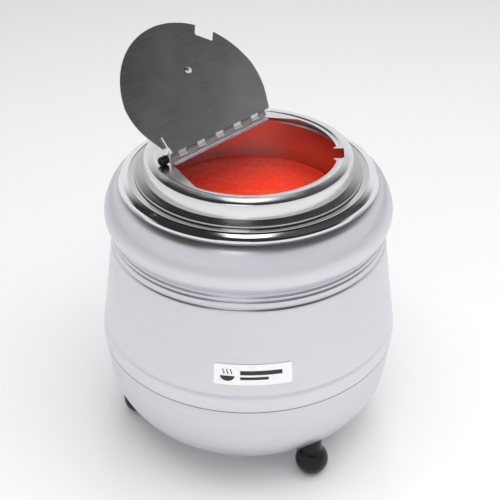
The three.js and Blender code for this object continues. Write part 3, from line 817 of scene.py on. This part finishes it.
def make_leaf():
    """The ring's leaf: a strip with a ledge inside the mouth, and a rolled knuckle in each slot."""
    bm = prism(bmesh.new(), rounded(LEAF_SECTION, 5), -HINGE_HALF, HINGE_HALF)
    lay_along_x(bm)
    for s in SLOTS:
        tube_along_x(bm, KNUCKLE, BORE, s - SLOT_HALF, s + SLOT_HALF)
        block(bm, s - SLOT_HALF + 0.2, s + SLOT_HALF - 0.2, -KNUCKLE, -BORE, LEAF + 0.8, 0)
    soften(piece("ring_leaf", bm, "lid", leaf_steel, ["hinge_leaf"], LID_FRAME), 0.15)


def make_pin():
    bm = tube_along_x(bmesh.new(), PIN_R, 0, -HINGE_HALF - 1, HINGE_HALF + 1, sides=20)
    piece("hinge_rod", bm, "lid", zinc_plate, ["hinge_pin"], LID_FRAME)


make_leaf()
make_pin()

# ---------- flap ----------
FLAP_R = 102.5
FLAP_CHEEKS = ((86, 41), (78, 48))
FLAP_T = 1.2
FLAP_TOP = -2.5
FLAP_LOW = FLAP_TOP - FLAP_T
FLAP_EDGE = 4.3             # where the flat sheet begins, across from the hinge line
FLAP_EASE = 0.8
NOTCH_DEPTH = 14
KNOB_AT = (-8, 84)
KNOB_HOLE_R = 2.4
CORNER_CUT = [(74, -5), (110, -5), (110, 13.5), (74, 13.5, 2)]     # clears the stop's sleeve
SLEEVE_AT = (3.14, 1.3)
SLEEVE_START = 82
STOP_WIRE_R = 1.1


def roll_ends():
    """The stretches of the hinge line that the flap's own knuckles fill, between the slots."""
    inner = [e for s in SLOTS for e in (s - SLOT_HALF - GAP, s + SLOT_HALF + GAP)]
    ends = [-HINGE_HALF, *inner, HINGE_HALF]
    return list(zip(ends[::2], ends[1::2]))


def roll_arc(radius):
    turns = [math.radians(-8 * k) for k in range(40)]
    return [(radius * math.sin(a), -radius * math.cos(a)) for a in turns]


def make_flap():
    """The half lid: a flat sheet with a notch and slots, and its edge rolled round the hinge pin."""
    outline = d_outline(FLAP_R, FLAP_CHEEKS, FLAP_EDGE, 96, FLAP_EASE)
    bm = prism(bmesh.new(), outline, FLAP_LOW, FLAP_TOP)
    flap = piece("flap_sheet", bm, "flap", shaded_flap_steel, ["lid_flap"], FLAP_FRAME)
    notch = rounded([(NOTCH_HALF + 0.4, FLAP_R + 5), (NOTCH_HALF, FLAP_R - NOTCH_DEPTH, 2.2),
                     (-NOTCH_HALF, FLAP_R - NOTCH_DEPTH, 2.2), (-NOTCH_HALF - 0.4, FLAP_R + 5)], 5)
    cuts = [at_notch(notch), rounded(CORNER_CUT, 4), circle(KNOB_HOLE_R, KNOB_AT, 24)]
    for s in SLOTS:
        x0, x1, end = s - SLOT_HALF - GAP, s + SLOT_HALF + GAP, FLAP_EDGE + 0.6
        cuts.append(rounded([(x0, -5), (x1, -5), (x1, end, 0.3), (x0, end, 0.3)], 3))
    combine(flap, [cutter(cut, FLAP_FRAME) for cut in cuts], "DIFFERENCE")
    soften(flap, 0.2)
    rolls = bmesh.new()
    top = FLAP_LOW + FLAP_T
    section = [(FLAP_EDGE + 0.5, FLAP_LOW), (FLAP_EDGE - 0.2, FLAP_LOW), (FLAP_EDGE - 0.9, -KNUCKLE),
               *roll_arc(KNUCKLE), *roll_arc(BORE)[::-1], (FLAP_EDGE - 1.6, -BORE),
               (FLAP_EDGE - 0.4, top), (FLAP_EDGE + 0.5, top)]
    for x0, x1 in roll_ends():
        prism(rolls, section, x0, x1)
    lay_along_x(rolls)
    piece("flap_rolls", rolls, "flap", shaded_flap_steel, ["lid_flap"], FLAP_FRAME)


make_flap()


def make_grip():
    """The phenolic knob on the flap's outer face."""
    base = FLAP_TOP + GAP
    outline = rounded([(0, base), (9, base, 0.6), (9, base + 1.5, 0.8), (7, base + 4, 2),
                       (7.4, base + 9, 5), (12.5, base + 13, 3), (14, base + 17, 4), (12.8, base + 21, 4),
                       (8, base + 23.6, 4), (0, base + 24.4)], 5, closed=False)
    piece("flap_grip", lathe(outline, 56, KNOB_AT), "flap", phenolic, ["flap_knob"],
          FLAP_FRAME)


def make_screw():
    """The pan-head screw that holds the knob, with a cross recess."""
    top = FLAP_LOW - GAP
    outline = rounded([(0, top - 2.1), (1.6, top - 2.1, 1), (3.7, top - 1.3, 1), (4.4, top - 0.3, 0.3),
                       (4.4, top), (2, top), (2, top + 13), (0, top + 13)], 5, closed=False)
    screw = piece("grip_screw", lathe(outline, 40, KNOB_AT), "flap", mirror_steel,
                  ["knob_screw"], FLAP_FRAME)
    x, y = KNOB_AT
    arms = [[(x - u, y - v), (x + u, y - v), (x + u, y + v), (x - u, y + v)]
            for u, v in ((2.3, 0.45), (0.45, 2.3))]
    combine(screw, [cutter(arm, FLAP_FRAME, top - 4, top - 1.0) for arm in arms], "DIFFERENCE")


def make_stop():
    """The bent wire that stops the flap when it's open, and the rubber sleeve on its end."""
    across, up = SLEEVE_AT
    route = smooth_line([(78, 27, -5.2), (78, 17, -5.2), (78.8, 10.5, -4.6), (79.8, 7, -2.4),
                         (80.6, 4.4, 0.2), (82.6, across, up), (86, across, up), (90.5, across, up)], 8)
    piece("stop_wire", sweep(route, STOP_WIRE_R), "flap", hinge_steel, ["stop_arm"],
          FLAP_FRAME)
    bm = lathe(rounded([(1.7, 0), (4.7, 0, 1.0), (5.2, 2.2, 1), (4.9, 5, 2), (5.2, 7.8, 1),
                        (4.7, 10, 1.0), (1.7, 10)], 4), 40)
    lay_along_x(bm, 0, SLEEVE_START, across, up)
    piece("stop_sleeve", bm, "flap", rubber, ["stop_bumper"], FLAP_FRAME)


make_grip()
make_screw()
make_stop()

# ---------- feet ----------
FOOT_R = 20
FOOT_FLAT = 0.4             # how much of the ball its flat takes off
FOOT_TOP = 44
PARTING = 0.12              # height of the ball's parting line
PARTING_AT = 1.5            # degrees above the ball's middle
PARTING_WIDTH = 1.6         # degrees


def make_foot(node):
    """A ball foot: a moulded ball with a parting line, on a neck that follows the pan's corner."""
    at = centre(node)
    outline = [(0, 0), (4.0, 0)]
    for degrees in range(-72, 53, 6):
        a = math.radians(degrees)
        bead = PARTING * math.exp(-((degrees - PARTING_AT) / PARTING_WIDTH) ** 2)
        outline.append(((FOOT_R + bead - PARTING) * math.cos(a), FOOT_R - FOOT_FLAT + FOOT_R * math.sin(a)))
    outline += [(11.6, 36.6), (11.0, 38.6), (11.0, FOOT_TOP), (2.8, FOOT_TOP), (2.8, 14), (0, 14)]
    bm = lathe(outline, 56, (at.x, at.y))
    for v in bm.verts:
        if v.co.z > FOOT_TOP - 0.1:
            v.co.z = pan_height(v.co.xy.length) - GAP
    piece("ball_" + node, bm, "base", rubber, [node], sharp=50)


for foot in FEET:
    make_foot(foot)

# ---------- label on the front ----------
LABEL = {"left": -38, "right": 48, "low": 178, "high": 203}
LABEL_MIDDLE = (LABEL["low"] + LABEL["high"]) / 2
LABEL_R = casing_radius(LABEL_MIDDLE)
LABEL_FACE = GAP + 0.8      # how far the label's face stands proud of the casing
INK = 0.05
BOWL_AT = LABEL["left"] + 15
BOWL_R = 8


def on_casing(x, z, proud):
    """A point on the front of the casing, standing proud of it."""
    r = casing_radius(z) + proud
    a = -math.pi / 2 + x / LABEL_R
    return (r * math.cos(a), r * math.sin(a), z)


def wrapped(bm, rows, inner, outer):
    """Adds a thin sheet bent round the casing, from rows of (x, height) points."""
    up, across = len(rows) - 1, len(rows[0]) - 1
    low, high = [[[bm.verts.new(on_casing(x, z, proud)) for x, z in row] for row in rows]
                 for proud in (inner, outer)]
    for grid in (low, high):
        for j in range(up):
            for k in range(across):
                bm.faces.new((grid[j][k], grid[j][k + 1], grid[j + 1][k + 1], grid[j + 1][k]))
    rim = [(0, k) for k in range(across)] + [(j, across) for j in range(up)]
    rim += [(up, k) for k in range(across, 0, -1)] + [(j, 0) for j in range(up, 0, -1)]
    for (j, k), (m, n) in zip(rim, rim[1:] + rim[:1]):
        bm.faces.new((low[j][k], low[m][n], high[m][n], high[j][k]))
    return bm


def label_rows(corner, across, up):
    """The label's points; its corners are rounded off."""
    x0, x1, z0, z1 = LABEL["left"], LABEL["right"], LABEL["low"], LABEL["high"]
    rows = []
    for j in range(up + 1):
        z = z0 + (z1 - z0) * j / up
        into = max(0, corner - min(z - z0, z1 - z)) / corner
        trim = corner * (1 - math.sqrt(max(0, 1 - into ** 2)))
        rows.append([(x0 + trim + (x1 - x0 - 2 * trim) * k / across, z) for k in range(across + 1)])
    return rows


def print_shape(bm, near, far):
    """Adds a small flat printed shape between two chains of points, laid on the label."""
    wrapped(bm, (near, far), LABEL_FACE, LABEL_FACE + INK)


def make_label():
    """The label, and its print: a steaming bowl beside two bars."""
    bm = wrapped(bmesh.new(), label_rows(1.2, 40, 14), GAP, LABEL_FACE)
    soften(piece("label_plate", bm, "base", label_face, ["badge_plate"]), 0.15)
    ink = bmesh.new()
    rim = LABEL_MIDDLE - 1.4
    spread = [BOWL_R * math.cos(math.pi * k / 20) for k in range(1, 20)]
    print_shape(ink, [(BOWL_AT + x, rim) for x in spread],
                [(BOWL_AT + x, rim - 6.4 * math.sqrt(1 - (x / BOWL_R) ** 2)) for x in spread])
    for k in (-1, 0, 1):
        x0, z0 = BOWL_AT + 4.2 * k, LABEL_MIDDLE + 0.8
        steam = [(x0 + 0.8 * math.sin(2 * math.pi * t / 10), z0 + 6.2 * t / 10) for t in range(11)]
        print_shape(ink, [(x - 0.6, z) for x, z in steam], [(x + 0.6, z) for x, z in steam])
    for z, reach, half in ((LABEL_MIDDLE + 2.6, 46, 2.6), (LABEL_MIDDLE - 4.2, 31, 1.7)):
        run = [BOWL_AT + 14 + reach * k / 16 for k in range(17)]
        print_shape(ink, [(x, z - half) for x in run], [(x, z + half) for x in run])
    piece("label_print", ink, "base", dark_ink)


make_label()

# ---------- rear panel ----------
DIAL_FACE = PANEL_Y + 1.3
DIAL_TURNS = [math.radians(225 - 27 * k) for k in range(11)]     # the marks 0 to 10
TICK = (17.7, 19.0, 0.28)   # inner and outer radius, and half width
NUMBER_R = 20.9
NUMBER_SIZE = 2.9
KNOB_FLUTES = 24
GLAND_RIBS = 16


def number_mesh(name, text):
    """A small flat figure, as a mesh at the origin."""
    curve = bpy.data.curves.new("number", "FONT")
    curve.body = text
    curve.size = NUMBER_SIZE * MM
    curve.extrude = 0.03 * MM
    curve.resolution_u = 3
    curve.align_x, curve.align_y = "CENTER", "CENTER"
    number = add_object("number", curve)
    bpy.context.view_layer.update()
    mesh = bpy.data.meshes.new_from_object(number.evaluated_get(bpy.context.evaluated_depsgraph_get()))
    bpy.data.objects.remove(number)
    bpy.data.curves.remove(curve)
    mesh.name = name
    return mesh


def make_dial():
    """The dial plate, with ticks and plain numbers round the knob."""
    at = centre("thermostat_spindle")
    x0, y0, z0, z1 = -at.x, at.z, PANEL_Y + GAP, DIAL_FACE
    outline = rounded([(4, z0), (22.7, z0, 0.2), (23, z1, 0.3), (4, z1, 0.2)], 3)
    piece("dial_disc", lathe(outline, 72, (x0, y0)), "base", dial_metal, ["dial_plate"],
          REAR_FRAME)
    ink = bmesh.new()
    inner, outer, half = TICK
    corners = [(inner, -half), (outer, -half), (outer, half), (inner, half)]
    for a in DIAL_TURNS:
        c, s = math.cos(a), math.sin(a)
        prism(ink, [(x0 + u * c - v * s, y0 + u * s + v * c) for u, v in corners], z1, z1 + 0.06)
    piece("dial_ticks", ink, "base", dark_ink, place=REAR_FRAME)
    for k, a in enumerate(DIAL_TURNS):
        mesh = number_mesh(f"dial_number_{k}", str(k))
        x, y = x0 + NUMBER_R * math.cos(a), y0 + NUMBER_R * math.sin(a)
        mesh.transform(Matrix.Translation((x * MM, y * MM, (z1 + 0.03) * MM)))
        mesh.materials.clear()
        mesh.materials.append(dark_ink)
        obj = add_object(f"dial_number_{k}", mesh)
        obj.matrix_world = REAR_FRAME
        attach(obj, "base")


def make_thermostat_knob():
    """A skirted phenolic knob with grip flutes, a raised pointer and a white line on it."""
    at = centre("thermostat_spindle")
    y0 = DIAL_FACE + GAP
    outline = rounded([(3.3, 11), (3.3, 0), (17, 0, 0.5), (17, 3, 0.9), (15.4, 3.9, 0.6),
                       (14.5, 15, 1.2), (13, 16.4, 0.8), (0, 16.4)], 4, closed=False) + [(0, 11)]
    outline = [(r, z + y0) for r, z in outline]
    bm = lathe(outline, 192)
    for v in bm.verts:
        r, z = v.co.xy.length, v.co.z - y0
        if r > 12.5 and z > 4.2:
            flute = 0.55 * max(0, math.cos(KNOB_FLUTES * math.atan2(v.co.y, v.co.x)))
            v.co.xy *= (r - flute) / r
    bmesh.ops.translate(bm, vec=(-at.x, at.z, 0), verts=bm.verts)
    piece("thermostat_grip", bm, "knob", phenolic, ["thermostat_knob"], REAR_FRAME)
    rib = block(bmesh.new(), -at.x - 1.6, -at.x + 1.6, at.z + 1, at.z + 14.6, y0 + 5, y0 + 17.4)
    pointer = piece("thermostat_pointer", rib, "knob", phenolic, ["thermostat_knob"],
                    REAR_FRAME)
    soften(pointer, 0.6, 3)
    line = block(bmesh.new(), -at.x - 0.5, -at.x + 0.5, at.z + 3, at.z + 13.4, y0 + 17.38, y0 + 17.4)
    piece("thermostat_line", line, "knob", white_ink, place=REAR_FRAME)


def make_lamp():
    """The pilot lamp: a black bezel round a clear domed lens."""
    at = (-centre("indicator_lamp").x, centre("indicator_lamp").z)
    y = PANEL_Y
    bezel = rounded([(4.2, y + GAP), (6.5, y + GAP, 0.3), (6.5, y + 1.8, 0.6), (5.2, y + 2.3, 0.4),
                     (4.2, y + 2.3)], 4)
    piece("lamp_bezel", lathe(bezel, 48, at), "base", phenolic, ["indicator_lamp"],
          REAR_FRAME)
    dome = rounded([(0, y - 18), (4.1, y - 18, 0.4), (4.1, y + 2), (5.0, y + 2.3, 0.2),
                    (5.0, y + 4.2, 1.2), (3.6, y + 6.0, 1.6), (0, y + 6.5)], 5, closed=False)
    piece("lamp_lens_dome", lathe(dome, 48, at), "base", lamp_plastic, ["indicator_lamp"],
          REAR_FRAME)


def make_gland():
    """A cable gland: a chamfered hexagon and a ribbed dome nut with an empty bore."""
    at = (-centre("cord_gland").x, centre("cord_gland").z)
    y = PANEL_Y
    bm = prism(bmesh.new(), [(at[0] + u, at[1] + v) for u, v in hexagon(16.4, 0.8)], y + GAP, y + 5)
    collar = piece("gland_hexagon", bm, "base", phenolic, ["cord_gland"], REAR_FRAME)
    bore = temporary(rod(3.6, y - 40, y + 40, 32, at))
    bore.matrix_world = REAR_FRAME
    combine(collar, [bore], "DIFFERENCE")
    soften(collar, 0.5, 3)
    dome = rounded([(3.6, y - 14), (6, y - 14, 0.4), (6, y + GAP), (7.3, y + 4.9), (7.5, y + 5.2, 0.3),
                    (7.5, y + 12.2, 2.0), (6.2, y + 15, 1.6), (4.4, y + 15, 0.5), (3.6, y + 13.6)], 5)
    bm = lathe(dome, 96, at)
    for v in bm.verts:
        off = Vector((v.co.x - at[0], v.co.y - at[1]))
        if off.length > 7 and y + 5.5 < v.co.z < y + 12:
            off *= 1 - 0.05 * max(0, math.cos(GLAND_RIBS * math.atan2(off.y, off.x)))
            v.co.x, v.co.y = at[0] + off.x, at[1] + off.y
    piece("gland_dome", bm, "base", phenolic, ["cord_gland"], REAR_FRAME)


def make_base_nut():
    """The nut of the tie rod under the pan, chamfered as real nuts are."""
    low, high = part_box("base_nut")
    z0, z1 = low.z / MM, high.z / MM
    bm = prism(bmesh.new(), hexagon(10, 0.2), z0, z1)
    nut = piece("rod_nut", bm, "base", zinc_plate, ["base_nut"])
    bore = temporary(rod(3.3, z0 - 5, z1 + 5, 32))
    chamfer = temporary(lathe([(0, z0 - 0.3), (5.0, z0 - 0.3), (6.0, z0 + 0.6), (6.0, z1 - 0.6),
                               (5.0, z1 + 0.3), (0, z1 + 0.3)], 48))
    combine(nut, [bore], "DIFFERENCE")
    combine(nut, [chamfer], "INTERSECT")


make_dial()
make_thermostat_knob()
make_lamp()
make_gland()
make_base_nut()


# ---------- studio ----------
def behind(degrees):
    """The direction that far up behind the object."""
    up = math.radians(degrees)
    return (0, math.cos(up), math.sin(up))


ROOM_COLOR = (0.86, 0.86, 0.88)
# Each patch of the room: direction, full within and gone beyond these degrees, and its level.
PATCHES = [
    ((0, 0.05, 1.0), 50, 59, 0.03),
    ((0.38, 0.38, 0.84), 10, 34, 0.08),
    *[(behind(degrees), 1.5, 4.5, 2.6) for degrees in (43, 48, 53, 58, 63)],
]
FLOOR_R = 6
CAMERA_AT = (0.0017, -1.0911, 0.9393)
CAMERA_DOWN = 32.61         # degrees below the horizon
CAMERA_LENS = 78.2
CAMERA_SENSOR = 36


def make_floor():
    bm = bmesh.new()
    bmesh.ops.create_circle(bm, cap_ends=True, segments=96, radius=FLOOR_R)
    mesh = bpy.data.meshes.new("studio_floor")
    bm.to_mesh(mesh)
    bm.free()
    floor = add_object("studio_floor", mesh)
    paint = Paint("floor_paper", (0.93, 0.93, 0.93))
    paint.shader.inputs["Specular IOR Level"].default_value = 0.1
    paint.roughness(paint.noise(3), 0.8, 0.95)
    mesh.materials.append(paint.material)


def area_light(name, place, target, size, power, glossy=True):
    data = bpy.data.lights.new(name, "AREA")
    data.shape = "RECTANGLE"
    data.size, data.size_y = size
    data.energy = power
    lamp = add_object(name, data)
    lamp.location = place
    lamp.rotation_mode = "QUATERNION"
    lamp.rotation_quaternion = (Vector(target) - Vector(place)).to_track_quat("-Z", "Y")
    lamp.visible_glossy = glossy
    lamp.visible_camera = False


def make_world():
    """A pale room, dim overhead, with a strip of small lamps high behind the object."""
    world = bpy.data.worlds.new("studio")
    bpy.context.scene.world = world
    world.use_nodes = True
    tree = world.node_tree
    place = add_node(tree, "ShaderNodeTexCoord").outputs["Generated"]
    color = (*ROOM_COLOR, 1)
    for direction, inner, outer, level in PATCHES:
        aim = {0: place, 1: Vector(direction).normalized()}
        toward = add_node(tree, "ShaderNodeVectorMath", aim, operation="DOT_PRODUCT").outputs["Value"]
        edges = {0: toward, 1: math.cos(math.radians(outer)), 2: math.cos(math.radians(inner))}
        share = add_node(tree, "ShaderNodeMapRange", edges, interpolation_type="SMOOTHSTEP").outputs[0]
        colors = {0: share, 6: color, 7: (level, level, level * 1.04, 1)}
        color = add_node(tree, "ShaderNodeMix", colors, data_type="RGBA").outputs[2]
    tree.links.new(color, tree.nodes["Background"].inputs[0])


def make_camera():
    data = bpy.data.cameras.new("camera")
    data.lens = CAMERA_LENS
    data.sensor_width = CAMERA_SENSOR
    camera = add_object("camera", data)
    camera.location = CAMERA_AT
    camera.rotation_euler = (math.radians(90 - CAMERA_DOWN), 0, 0)
    bpy.context.scene.camera = camera


make_floor()
make_world()
make_camera()
area_light("key", (-0.35, -1.5, 1.9), (0, 0, 0.3), (0.8, 0.6), 3)
area_light("fill", (0.3, -0.3, 2.6), (0, 0, 0), (3.0, 3.0), 72, glossy=False)
bpy.context.scene.view_settings.view_transform = "Standard"
